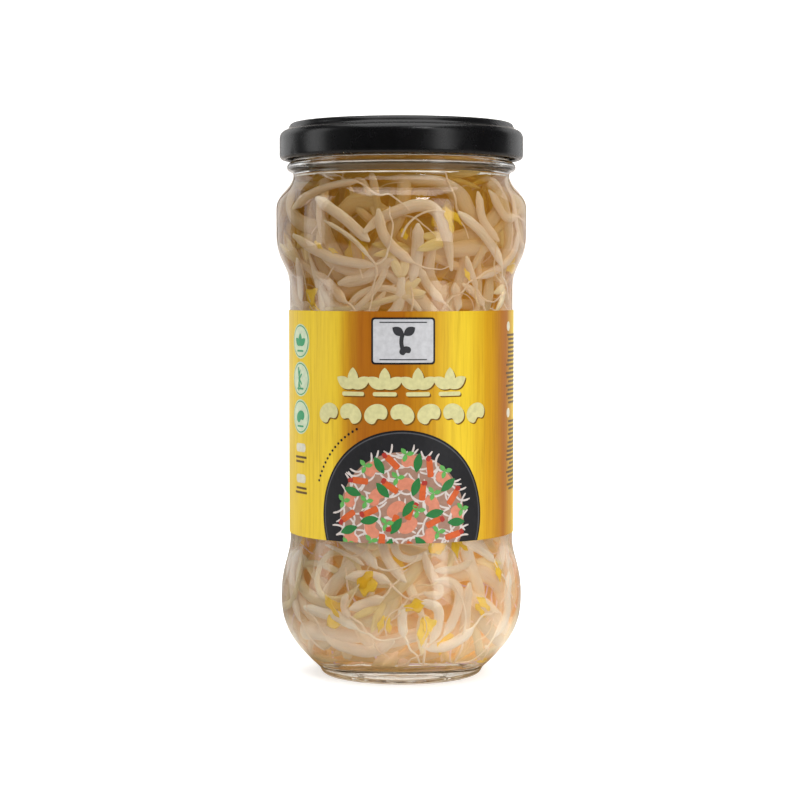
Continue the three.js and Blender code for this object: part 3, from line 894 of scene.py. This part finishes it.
def label_sheet():
    """The strip as a closed mesh, with its unrolled place stored as 'sheet' in mm."""
    columns = np.linspace(-HALF_TURN - LAP / 2, HALF_TURN + LAP / 2, 281)
    lifted = (PAPER + 0.03) * np.clip((columns - HALF_TURN + LAP / 2 + 1.5) / 1.5, 0, 1)
    section = [(LABEL_LOW, -PAPER), (LABEL_LOW, 0.0), (LABEL_HIGH, 0.0), (LABEL_HIGH, -PAPER)]
    points = [on_label(u, height, out + lift) for u, lift in zip(columns, lifted) for height, out in section]
    places = [(u, height, 0.0) for u in columns for height, _ in section]
    faces = [(4 * i + j, 4 * i + 4 + j, 4 * i + 4 + (j + 1) % 4, 4 * i + (j + 1) % 4)
             for i in range(len(columns) - 1) for j in range(4)]
    last = 4 * (len(columns) - 1)
    faces += [(0, 1, 2, 3), (last + 3, last + 2, last + 1, last)]
    mesh = bpy.data.meshes.new("label_paper")
    mesh.from_pydata(points, [], faces)
    mesh.attributes.new("sheet", "FLOAT_VECTOR", "POINT").data.foreach_set("vector", np.array(places).ravel())
    return mesh


def label_ground():
    """Coated paper printed amber, with painted sheen and shade in broad bands from yellow to brown round the
    jar, and a fine upright grain.
    """
    material, add, place = new_material("label_ground")
    sheet = add("Attribute", attribute_name="sheet").outputs["Vector"]
    across = add("SeparateXYZ", {"Vector": sheet}).outputs["X"]
    stretch = add("VectorMath", {0: sheet, 1: (1.0, 0.035, 1.0)}, operation="MULTIPLY").outputs["Vector"]
    moved = counted(add, "MULTIPLY_ADD", cloudy(add, stretch, 0.16), 9.0, across)
    # The print is one amber: yellow is it with painted sheen and brown is it with painted shade, in bands
    # round the jar.
    yellow, amber, brown = (0.73, 0.51, 0.023), (0.55, 0.29, 0.004), (0.36, 0.115, 0.001)
    painted_sheen_and_shade = ramp(add, ranged(add, moved, (4.5 - HALF_TURN, 4.5 + HALF_TURN)), [
        (0.0, amber), (0.08, yellow), (0.16, amber), (0.22, yellow), (0.40, yellow), (0.42, amber),
        (0.445, brown), (0.50, brown), (0.545, amber), (0.57, yellow), (0.60, yellow), (0.63, amber),
        (0.68, brown), (0.72, yellow), (0.80, yellow), (0.86, amber), (0.92, brown), (1.0, amber)])
    shade = ramp(add, cloudy(add, stretch, 1.1, 5.0, 0.7),
                 [(0.30, (0.80, 0.72, 0.55)), (0.48, (0.97, 0.95, 0.9)), (0.72, (1.07, 1.08, 1.1))])
    surfaced(add, {"Base Color": mixed(add, 1.0, painted_sheen_and_shade, shade, "MULTIPLY"),
                   "Normal": bumped(add, cloudy(add, place, 1 / (0.5 * MM), 3.0), 0.2, 0.02),
                   "Roughness": 0.42, "IOR": 1.45, "Specular IOR Level": 0.35})
    return material


label = stood("label_paper", label_sheet())
label.data.materials.append(label_ground())
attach(label, "jar")
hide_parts("paper_label")

# The print. Solid inks on the label, each one a thin film on the paper or on the ink below it. The pictures
# are plain seedlings, leaves, beans and a dish of strands and slices, with rows of plain bars beside them.

INK = 0.02
CUT = 1.6


def ink_material(name, colour):
    """Printing ink, nearly even, with the faint mottle of the paper."""
    material, add, place = new_material(name)
    tint = ramp(add, cloudy(add, place, 1 / (1.2 * MM), 4.0),
                [(0.3, tuple(c * 0.66 for c in colour)), (0.7, tuple(c * 0.80 for c in colour))])
    surfaced(add, {"Base Color": tint, "Roughness": 0.42, "IOR": 1.45, "Specular IOR Level": 0.35})
    return material


def placed(shape, across, height, turn=0.0, size=1.0):
    """A flat shape turned by degrees, sized and moved to its place on the label."""
    c, s = math.cos(math.radians(turn)) * size, math.sin(math.radians(turn)) * size
    return [(across + u * c - v * s, height + u * s + v * c) for u, v in shape]


def oval(wide, high, corners=36):
    return [(wide * math.cos(a) / 2, high * math.sin(a) / 2)
            for a in (math.tau * i / corners for i in range(corners))]


def bar(wide, high, rounding):
    """A rectangle with round corners."""
    points = []
    for quarter, (sx, sy) in enumerate(((1, 1), (-1, 1), (-1, -1), (1, -1))):
        for i in range(5):
            a = math.pi / 2 * (quarter + i / 4)
            points.append((sx * (wide / 2 - rounding) + rounding * math.cos(a),
                           sy * (high / 2 - rounding) + rounding * math.sin(a)))
    return points


def leaf(length, width):
    """A pointed leaf that starts at the origin and runs to the right."""
    shares = [i / 12 for i in range(13)]
    edge = [(length * t, width / 2 * math.sin(math.pi * t) ** 0.8) for t in shares]
    return [(u, -v) for u, v in edge] + edge[-2:0:-1]


def bean(length, width):
    """A kidney shape with its dent below."""
    points = []
    for a in (math.tau * i / 36 for i in range(36)):
        u, v = length / 2 * math.cos(a), width / 2 * math.sin(a)
        points.append((u, v * (1 - 0.5 * math.exp(-(u / (0.17 * length)) ** 2)) if v < 0 else v))
    return points


def strand(length, bow, width):
    """A curved stroke with round ends, bowed upwards."""
    line = [(length * (t - 0.5), bow * (1 - (2 * t - 1) ** 2)) for t in (i / 10 for i in range(11))]
    upper, lower = [], []
    for i, (u, v) in enumerate(line):
        ahead, back = line[min(i + 1, 10)], line[max(i - 1, 0)]
        du, dv = ahead[0] - back[0], ahead[1] - back[1]
        run = math.hypot(du, dv)
        half = width / 2 * (0.55 if i in (0, 10) else 1.0)
        upper.append((u - dv / run * half, v + du / run * half))
        lower.append((u + dv / run * half, v - du / run * half))
    return lower + upper[::-1]


def printed(name, colour, layer, shapes):
    """One ink: its flat shapes, cut off at the label's edges and into narrow strips, wrapped on the jar."""
    flat = bmesh.new()
    for shape in shapes:
        flat.faces.new([flat.verts.new((u, v, 0)) for u, v in shape])
    bmesh.ops.triangulate(flat, faces=flat.faces[:])
    for height, way in ((LABEL_LOW + 0.05, -1), (LABEL_HIGH - 0.05, 1)):
        bmesh.ops.bisect_plane(flat, geom=flat.verts[:] + flat.edges[:] + flat.faces[:],
                               plane_co=(0, height, 0), plane_no=(0, way, 0), clear_outer=True)
    reach = [vert.co.x for vert in flat.verts]
    cut = math.floor(min(reach) / CUT) * CUT
    while cut < max(reach):
        bmesh.ops.bisect_plane(flat, geom=flat.verts[:] + flat.edges[:] + flat.faces[:],
                               plane_co=(cut, 0, 0), plane_no=(1, 0, 0))
        cut += CUT
    flat.verts.index_update()
    flat.verts.ensure_lookup_table()
    count = len(flat.verts)
    top = [on_label(vert.co.x, vert.co.y, (layer + 1) * INK) for vert in flat.verts]
    under = [on_label(vert.co.x, vert.co.y, 0.4 * INK) for vert in flat.verts]
    faces = []
    for face in flat.faces:
        loop = [vert.index for vert in face.verts]
        if face.normal.z < 0:
            loop = loop[::-1]
        faces.append(tuple(loop))
        faces.append(tuple(i + count for i in loop[::-1]))
        for a, b in zip(loop, loop[1:] + loop[:1]):
            if flat.edges.get((flat.verts[a], flat.verts[b])).is_boundary:
                faces.append((a + count, b + count, b, a))
    flat.free()
    mesh = bpy.data.meshes.new(name)
    mesh.from_pydata(top + under, [], faces)
    mesh.materials.append(ink_material(name, colour))
    film = stood(name, mesh)
    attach(film, "jar")


def seedling(across, height, size, turn=0.0):
    """A sprouting seed: two leaves on a bowed stem, and the seed at its foot."""
    parts = [placed(strand(6.4, 0.7, 1.5), 0, 0, 90), placed(leaf(5.0, 3.2), 0.2, 2.4, 34),
             placed(leaf(5.0, 3.2), 0.2, 2.4, 146), placed(bean(4.4, 3.2), 0.7, -3.3, 20)]
    return [placed(part, across, height, turn, size) for part in parts]


def on_dish(reach, angle):
    """A place on the dish, out from its middle."""
    return DISH[0] + reach * math.cos(angle), DISH[1] + reach * math.sin(angle)


# Where things stand on the label's front, in mm right of its middle and above the floor.
PLATE = (0.5, 92.9)
TITLE_ROWS = (81.9, 73.6)
SPRIGS = (-13.2, -4.4, 4.4, 13.2)
DISH = (0.2, 46.4)
DISH_RADIUS = 23.0
BADGES = [(-33.2, 92.4), (-33.2, 82.2), (-33.2, 72.0)]

draw = seeded(41)
title = [placed(leaf(5.6, 3.0), u, TITLE_ROWS[0] - 1.6, turn) for u in SPRIGS for turn in (32, 90, 148)]
title += [placed(bar(6.4, 1.1, 0.5), u, TITLE_ROWS[0] - 3.0) for u in SPRIGS]
title += [placed(bean(6.5, 5.2), u, TITLE_ROWS[1], 24 * (-1) ** i)
          for i, u in enumerate(np.linspace(-21, 21.5, 7))]
title_shade = [[(u + 0.35, v - 0.35) for u, v in shape] for shape in title]

dark = [placed(oval(2 * DISH_RADIUS, 2 * DISH_RADIUS, 96), *DISH)]
dark += [placed(bar(17.0, 12.4, 0.9), *PLATE)]
dark += [placed(oval(0.7, 0.7, 12), *on_dish(26.2, a)) for a in np.radians(range(118, 163, 3))]
rim = [placed(oval(2 * DISH_RADIUS - 1.0, 2 * DISH_RADIUS - 1.0, 96), *DISH)]
well = [placed(oval(2 * DISH_RADIUS - 1.7, 2 * DISH_RADIUS - 1.7, 96), *DISH)]
bed = [placed(oval(34.5, 34.5, 72), *DISH)]
strands, crescents, slices, leaves, herbs, specks = [], [], [], [], [], []
for ring, (reach, number) in enumerate(((17.6, 44), (14.6, 38), (11.2, 30), (7.6, 20), (3.6, 10))):
    for i in range(number):
        a = 360 * (i + 0.5 * (ring % 2)) / number + 8 * (draw() - 0.5)
        spot = on_dish(reach, math.radians(a))
        blade = strand(4.6 + 1.8 * draw(), 0.9 + 0.9 * draw(), 0.5)
        strands.append(placed(blade, *spot, a + 40 + 100 * draw()))
for ring, (reach, number) in enumerate(((14.8, 9), (8.6, 6), (2.6, 2))):
    for i in range(number):
        a = 360 * (i + 0.35 * ring) / number
        spot = on_dish(reach, math.radians(a))
        crescents.append(placed(bean(5.6, 3.9), *spot, a - 90))
        crescents.append(placed(bean(2.6, 1.9), *spot, a + 60))
        b = math.radians(a + 180 / number)
        slices.append(placed(bar(4.6, 1.7, 0.5), *on_dish(reach, b), math.degrees(b) + 35))
        leaves.append(placed(leaf(5.2, 2.3), *on_dish(reach - 2.4, b + 0.22), math.degrees(b) + 20))
        herbs += [placed(leaf(2.1, 1.2), *on_dish(reach + 1.9, b - 0.24), turn) for turn in (10, 130, 250)]
        specks.append(placed(bar(1.5, 1.2, 0.4), *on_dish(reach + 2.2, b + 0.1), 60 * i))

plate_face = [placed(bar(16.0, 11.4, 0.6), *PLATE)]
plate_mark = seedling(PLATE[0], PLATE[1] - 0.2, 0.72)
plate_mark += [placed(bar(12.6, 0.3, 0.14), PLATE[0], PLATE[1] + side * 4.9) for side in (-1, 1)]
badge_face = [placed(oval(9.4, 9.4, 48), *spot) for spot in BADGES]
badge_ring = [placed(oval(8.7, 8.7, 48), *spot) for spot in BADGES]
badge_well = [placed(oval(8.1, 8.1, 48), *spot) for spot in BADGES]
badge_mark = [placed(leaf(3.4, 1.9), BADGES[0][0], BADGES[0][1] - 1.2, turn) for turn in (35, 90, 145)]
badge_mark += [placed(strand(5.0, 0.8, 0.6), BADGES[1][0], BADGES[1][1] + dv, 90 + 24 * dv)
               for dv in (-0.9, 0.0, 0.9)]
badge_mark += [placed(bean(4.6, 3.2), *BADGES[2], 20)]
badge_mark += [placed(bar(3.6, 0.5, 0.2), u, v - 2.6) for u, v in BADGES]

white_bars = [placed(bar(5.4, 2.3, 0.9), -33.2, height) for height in (63.6, 55.2)]
small_bars = [placed(bar(wide, 0.62, 0.2), -33.2 + shift, height)
              for height, wide, shift in ((61.0, 6.4, 0), (59.8, 5.0, -0.5),
                                          (52.6, 6.0, 0.2), (51.4, 6.8, 0))]
for top in (94.0, 70.4):
    white_bars.append(placed(oval(2.6, 2.6, 20), 37.6, top + 2.4))
    small_bars += [placed(bar(9.5 + 5.5 * draw(), 0.6, 0.2), 43.0 + 0.8 * draw(), top - 1.15 * i)
                   for i in range(17)]
for column in (-66.0, 66.0):
    white_bars.append(placed(bar(22.0, 46.0, 1.6), column, 70.0))
back_bars = [placed(bar(13.0 + 5.0 * draw(), 0.7, 0.25), column + 0.8 * draw(), 90.0 - 1.5 * i)
             for column in (-66.0, 66.0) for i in range(27)]

printed("shade_ink", (0.20, 0.085, 0.004), 0, title_shade)
printed("black_ink", (0.014, 0.014, 0.015), 1, dark)
printed("cream_ink", (0.79, 0.74, 0.36), 1.2, title)
printed("silver_ink", (0.70, 0.70, 0.72), 2, plate_face)
printed("dish_rim_ink", (0.10, 0.10, 0.11), 2, rim)
printed("dish_ink", (0.022, 0.022, 0.025), 3, well)
printed("bed_ink", (0.42, 0.24, 0.17), 4, bed)
printed("strand_ink", (0.78, 0.69, 0.64), 5, strands)
printed("coral_ink", (0.78, 0.28, 0.17), 6, crescents)
printed("orange_ink", (0.72, 0.13, 0.03), 7, slices)
printed("leaf_ink", (0.03, 0.22, 0.055), 8, leaves)
printed("herb_ink", (0.15, 0.48, 0.11), 9, herbs)
printed("red_ink", (0.50, 0.045, 0.03), 9, specks)
printed("mark_ink", (0.05, 0.05, 0.055), 3, plate_mark)
printed("badge_ink", (0.72, 0.84, 0.57), 1, badge_face)
printed("badge_ring_ink", (0.07, 0.42, 0.19), 2, badge_ring)
printed("badge_well_ink", (0.74, 0.85, 0.60), 3, badge_well)
printed("badge_mark_ink", (0.07, 0.42, 0.19), 4, badge_mark)
printed("white_ink", (0.84, 0.80, 0.62), 1, white_bars)
printed("small_print_ink", (0.16, 0.085, 0.02), 1, small_bars)
printed("back_print_ink", (0.16, 0.085, 0.02), 2, back_bars)

# The lid. One piece of tinplate, drawn, rolled under at the hem and pressed into four lugs, lacquered black
# outside and white inside. Its middle has the low button that pops up when the vacuum is broken.

LID_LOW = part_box("lid_shell")[0].z / MM
LID_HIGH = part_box("lid_shell")[1].z / MM
LID_RADIUS = 33.6
TINPLATE = 0.3
LUG_START = THREAD_START + math.radians(3)
LUG_SWEEP = math.radians(18)


def lid_outline():
    """The outside of the lid from the hem's lip up to the button, and its inside back down."""
    top, low, out, t = LID_HIGH, LID_LOW, LID_RADIUS, TINPLATE
    outside = drawn(
        (31.85, low + 0.95),
        ((31.75, low + 0.3), (32.0, low), (32.5, low), 6),
        ((33.1, low), (33.5, low + 0.4), (out, low + 1.2), 6),
        ((out, top - 4.4), 4),
        ((out, top - 3.3), (33.1, top - 2.5), (32.2, top - 2.1), 8),
        ((31.4, top - 1.9), (31.2, top - 1.6), (31.0, top - 1.2), 5),
        ((30.8, top - 0.4), (30.3, top), (29.4, top), 7),
        ((25.6, top), 4),
        ((24.9, top), (24.8, top - 0.9), (24.0, top - 0.9), 6),
        ((9.6, top - 0.9), 8),
        ((9.0, top - 0.9), (8.8, top - 0.5), (8.2, top - 0.5), 5),
        ((0, top - 0.45), 4),
    )
    inside = drawn(
        (0, top - 0.9 - t),
        ((24.0, top - 0.9 - t), 8),
        ((25.0, top - 0.9 - t), (25.1, top - t), (25.8, top - t), 5),
        ((29.2, top - t), 3),
        ((30.3, top - t), (30.5, top - 0.8), (30.7, top - 1.5), 5),
        ((31.0, top - 2.2), (33.3, top - 2.6), (out - t, top - 4.4), 8),
        ((out - t, low + 2.2), 3),
        ((33.2, low + 1.2), (32.7, low + 0.5), (32.3, low + 0.6), 6),
        ((32.1, low + 0.7), (32.1, low + 0.95), (32.0, low + 1.3), 4),
    )
    return outside, inside


def lug_relief(angles, radius, height):
    """The hem pressed inwards at the four lugs, and the shallow dent that this leaves in the skirt."""
    dent = np.zeros(len(angles))
    if height > LID_LOW + 2.6 or radius < 31.0:
        return dent
    reach = 1.25 if radius < 32.4 else 0.12
    for n in range(THREADS):
        share = ((angles - LUG_START - n * math.tau / THREADS + 0.1) % math.tau - 0.1) / LUG_SWEEP
        edge = np.clip(np.minimum(share, 1 - share) * 8 + 0.5, 0, 1)
        dent -= reach * edge * edge * (3 - 2 * edge) * min(1.0, (LID_LOW + 2.6 - height) / 1.2)
    return dent


def lacquer(name, colour, roughness, speck):
    """Baked lacquer on tinplate: even colour, a fine orange peel and a few dull specks."""
    material, add, place = new_material(name)
    wear = cloudy(add, place, 1 / (7 * MM), 6.0, 0.65)
    tint = ramp(add, wear, [(0.3, colour), (0.8, tuple(c * speck for c in colour))])
    surfaced(add, {"Base Color": tint, "IOR": 1.5,
                   "Roughness": ranged(add, wear, (0.0, 1.0), (roughness - 0.05, roughness + 0.09)),
                   "Normal": bumped(add, cloudy(add, place, 1 / (0.9 * MM), 3.0), 0.1, 0.02)})
    return material


lid_outside, lid_inside = lid_outline()
lid = turned("lid_tinplate", lid_outside + lid_inside, 240, closed=True, relief=lug_relief)
lid.data.materials.append(lacquer("black_lacquer", (0.0035, 0.0035, 0.0038), 0.25, 1.6))
lid.data.materials.append(lacquer("white_lacquer", (0.72, 0.71, 0.66), 0.4, 0.9))
for face in lid.data.polygons:
    middle = face.center / MM
    reach = math.hypot(middle.x, middle.y)
    under = face.normal.z < -0.2 and middle.z > LID_LOW + 3
    facing_in = face.normal.x * middle.x + face.normal.y * middle.y < -5 and middle.z > LID_LOW + 1.2
    if under or (facing_in and 26 < reach < 33.4 and middle.z < LID_HIGH - 0.1 and not (24 < reach < 26.2)):
        face.material_index = 1
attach(lid, "lid")
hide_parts("lid_shell")

# The seal. A ring of soft compound flowed into the lid's channel and pressed on the rim of the glass.

SEAL_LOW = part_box("lid_seal")[0].z / MM
SEAL_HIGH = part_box("lid_seal")[1].z / MM


def seal_material():
    """Soft compound with a fine, uneven skin."""
    material, add, place = new_material("seal_compound")
    grain = cloudy(add, place, 1 / (1.5 * MM), 4.0)
    surfaced(add, {"Base Color": ramp(add, grain, [(0.3, (0.62, 0.60, 0.53)), (0.7, (0.70, 0.68, 0.61))]),
                   "Normal": bumped(add, grain, 0.3, 0.05), "Roughness": 0.6})
    return material


seal_section = [(27.1, SEAL_LOW + 0.45), (27.5, SEAL_LOW + 0.12), (28.0, SEAL_LOW), (29.1, SEAL_LOW),
                (29.3, SEAL_LOW + 0.15), (29.35, SEAL_HIGH - 0.2), (29.2, SEAL_HIGH), (27.2, SEAL_HIGH),
                (26.95, SEAL_HIGH - 0.2)]
seal = turned("seal_ring", seal_section, 160, closed=True)
seal.data.materials.append(seal_material())
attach(seal, "seal")
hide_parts("lid_seal")

# The studio. A pale sweep that turns up behind the jar, a soft key on each side and one overhead, a card and
# a pale flag on each side for the edges of the glass, a small spark, and a lamp on the sweep.

CAMERA_PLACE = (-0.00036, -0.570, 0.108)
CAMERA_PITCH = math.radians(90 - 3.25)
LENS = 92.4


def soft_light(name, place, aim, width, height, watts, mirrored=True):
    """A soft lamp. One that isn't mirrored lights the jar but doesn't show in its glass and lacquer."""
    lamp = bpy.data.lights.new(name, "AREA")
    lamp.shape = "RECTANGLE"
    lamp.size = width
    lamp.size_y = height
    lamp.energy = watts
    holder = stood(name, lamp)
    holder.location = place
    holder.rotation_euler = (Vector(aim) - Vector(place)).to_track_quat("-Z", "Y").to_euler()
    holder.visible_glossy = mirrored
    holder.visible_transmission = mirrored


def sweep_material():
    """White seamless paper with a faint grain. Glass and lacquer see it painted grey, so their edges show,
    with painted dark amber shade round the jar's foot.
    """
    material, add, place = new_material("sweep_paper")
    tint = ramp(add, cloudy(add, place, 60.0), [(0.0, (0.86, 0.86, 0.86)), (1.0, (0.92, 0.92, 0.92))])
    rays = add("LightPath").outputs
    plain = counted(add, "MAXIMUM", rays["Is Camera Ray"], rays["Is Diffuse Ray"])
    away = add("VectorMath", {0: place}, operation="LENGTH").outputs["Value"]
    # Painted for glass and lacquer only: dark amber shade round the jar's foot, a pale ring, then grey that
    # lightens far off.
    painted_tone_for_glass = ramp(add, ranged(add, away, (0.0, 1.0)), [
        (0.027, (0.26, 0.17, 0.07)), (0.035, (0.80, 0.76, 0.68)), (0.09, (0.26, 0.235, 0.215)),
        (0.45, (0.24, 0.22, 0.20)), (0.80, (0.60, 0.56, 0.53))])
    shade = mixed(add, plain, painted_tone_for_glass, tint)
    surfaced(add, {"Base Color": shade, "Emission Color": shade, "Emission Strength": 0.5,
                   "Roughness": 0.8, "Specular IOR Level": 0.0})
    return material


SWEEP_HALF = 0.44
SWEEP_FRONT = -0.24
sweep_mesh = bpy.data.meshes.new("studio_sweep")
sweep_line = [(SWEEP_FRONT, 0.0), (0.9, 0.0)] + [(0.9 + 0.5 * math.sin(a), 0.5 - 0.5 * math.cos(a))
                                                for a in np.linspace(0.15, math.pi / 2, 10)] + [(1.4, 1.6)]
sweep_points = [(x, y, z) for y, z in sweep_line for x in (-SWEEP_HALF, SWEEP_HALF)]
sweep_faces = [(2 * i, 2 * i + 1, 2 * i + 3, 2 * i + 2) for i in range(len(sweep_line) - 1)]
sweep_mesh.from_pydata(sweep_points, [], sweep_faces)
sweep = stood("studio_sweep", sweep_mesh)
sweep_mesh.materials.append(sweep_material())

JAR_MIDDLE = (0, 0, 0.08)
soft_light("left_key", (-0.7, -0.6, 0.5), JAR_MIDDLE, 0.6, 0.8, 2.0, mirrored=False)
soft_light("right_key", (0.7, -0.7, 0.45), JAR_MIDDLE, 0.6, 0.8, 5.2, mirrored=False)
soft_light("overhead", (0, -0.1, 0.95), (0, 0, 0), 0.9, 0.9, 5.0)
soft_light("left_card", (-0.9, -0.05, 0.3), JAR_MIDDLE, 0.35, 0.9, 1.5)
soft_light("right_card", (0.62, -0.75, 0.3), JAR_MIDDLE, 0.3, 0.9, 1.4)
soft_light("left_flag", (-0.75, 0.85, 0.25), JAR_MIDDLE, 0.8, 1.1, 2.6)
soft_light("right_flag", (0.75, 0.85, 0.25), JAR_MIDDLE, 0.8, 1.1, 2.2)
soft_light("spark", (0.24, -0.60, 0.62), JAR_MIDDLE, 0.14, 0.05, 0.5)
soft_light("sweep_light", (0, 0.35, 1.5), (0, 1.3, 0.3), 2.0, 0.8, 22, mirrored=False)

world = bpy.data.worlds.new("studio_air")
bpy.context.scene.world = world
world.use_nodes = True
air = world.node_tree
air_add = node_maker(air, "ShaderNode")
air_light = ranged(air_add, air_add("LightPath").outputs["Is Glossy Ray"], (0.0, 1.0), (0.08, 0.015))
air.nodes["Background"].inputs["Color"].default_value = (1, 1, 1, 1)
air.links.new(air_light, air.nodes["Background"].inputs["Strength"])

lens = bpy.data.cameras.new("front_camera")
lens.lens = LENS
lens.sensor_width = 36
camera = stood("front_camera", lens)
camera.location = CAMERA_PLACE
camera.rotation_euler = (CAMERA_PITCH, 0, 0)
bpy.context.scene.camera = camera
bpy.context.scene.view_settings.view_transform = "Standard"
